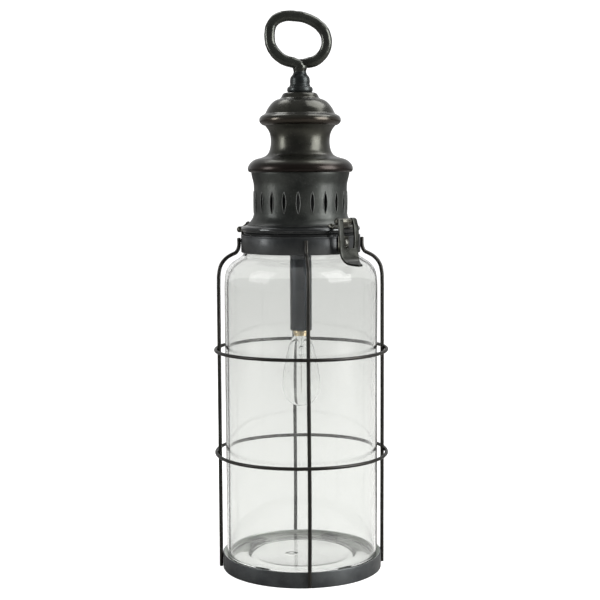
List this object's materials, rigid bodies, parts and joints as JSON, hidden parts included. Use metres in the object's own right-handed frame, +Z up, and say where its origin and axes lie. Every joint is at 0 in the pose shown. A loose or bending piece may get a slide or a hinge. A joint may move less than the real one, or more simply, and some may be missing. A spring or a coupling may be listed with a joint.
{
  "type": "hurricane lantern",
  "caption": "Tall glass-jar lantern in a wire cage with a hinged vented metal hood, a hasp catch, a ring handle and a hanging battery lamp.",
  "frame": {"origin": "centre of the base band's underside, on the surface the lantern stands on, on the lantern's axis", "axes": "+Z up along the axis; one cage wire faces -Y, so wires stand at -Y, +X, +Y and -X"},
  "size_m": [0.1606, 0.1606, 0.5112],
  "materials": {
    "dark_steel": "cool near-black oiled steel, satin, with faint mottling",
    "dark_bronze": "warm near-black bronze patina, semi-gloss, brown on worn edges",
    "jar_glass": "clear hand-finished glass, slightly grey-green in thick edges",
    "bulb_glass": "clear thin glass",
    "filament": "thin dull wire",
    "brass": "pale plated screw cap, satin",
    "zinc_plate": "zinc-plated, satin",
    "black_plastic": "moulded, matt",
    "red_plastic": "moulded, matt",
    "cell_wrap": "plain printed sleeve with a bare end"
  },
  "bodies": {
    "cage": {"base_band": "dark_steel", "jar_support_tab_1": "dark_steel", "jar_support_tab_2": "dark_steel", "jar_support_tab_3": "dark_steel", "jar_support_tab_4": "dark_steel", "top_collar": "dark_steel", "plate_lug_1": "dark_steel", "plate_lug_2": "dark_steel", "plate_lug_3": "dark_steel", "lamp_plate": "dark_steel", "lamp_tube": "dark_steel", "cage_wire_front": "dark_bronze", "cage_wire_right": "dark_bronze", "cage_wire_back": "dark_bronze", "cage_wire_left": "dark_bronze", "cage_ring_lower": "dark_bronze", "cage_ring_upper": "dark_bronze", "hinge_leaf_lower": "dark_bronze", "hinge_pin": "dark_bronze", "hinge_rivet_lower_1": "dark_bronze", "hinge_rivet_lower_2": "dark_bronze", "catch_plate": "dark_bronze", "catch_knob": "dark_bronze", "glass_jar": "jar_glass", "bulb_glass": "bulb_glass", "bulb_stem": "bulb_glass", "bulb_filament_1": "filament", "bulb_filament_2": "filament", "bulb_cap": "brass", "tube_nut": "zinc_plate", "plate_screw_1": "zinc_plate", "plate_screw_2": "zinc_plate", "plate_screw_3": "zinc_plate", "lamp_socket": "black_plastic", "battery_holder": "black_plastic", "switch_housing": "black_plastic", "lead_wire_negative": "black_plastic", "lead_wire_positive": "red_plastic", "battery_cell_1": "cell_wrap", "battery_cell_2": "cell_wrap", "battery_cell_3": "cell_wrap"},
    "hood": {"lid_rim": "dark_bronze", "hood_drum": "dark_steel", "vent_baffle": "dark_steel", "hood_waist": "dark_bronze", "hood_dome": "dark_bronze", "handle_ferrule": "dark_bronze", "ring_handle": "dark_bronze", "handle_washer": "zinc_plate", "handle_nut": "zinc_plate", "hinge_leaf_upper": "dark_bronze", "hinge_rivet_upper_1": "dark_bronze", "hinge_rivet_upper_2": "dark_bronze", "hasp_bracket": "dark_bronze", "hasp_rivet_1": "dark_bronze", "hasp_rivet_2": "dark_bronze", "hasp_pin": "dark_bronze"},
    "hasp": {"hasp_lever": "dark_bronze"},
    "switch": {"switch_slider": "red_plastic"}
  },
  "joints": [
    {"name": "hood_hinge", "type": "hinge", "parent": "cage", "child": "hood", "pos_m": [-0.05073, 0.02812, 0.3134], "axis": [-0.4848, -0.8746, 0], "range_deg": [0, 110]},
    {"name": "hasp_hinge", "type": "hinge", "parent": "hood", "child": "hasp", "pos_m": [0.03583, -0.04586, 0.3226], "axis": [-0.788, -0.6157, 0], "range_deg": [0, 150]},
    {"name": "switch_slide", "type": "slide", "parent": "cage", "child": "switch", "axis": [1, 0, 0], "range_m": [0, 0.004]}
  ]
}
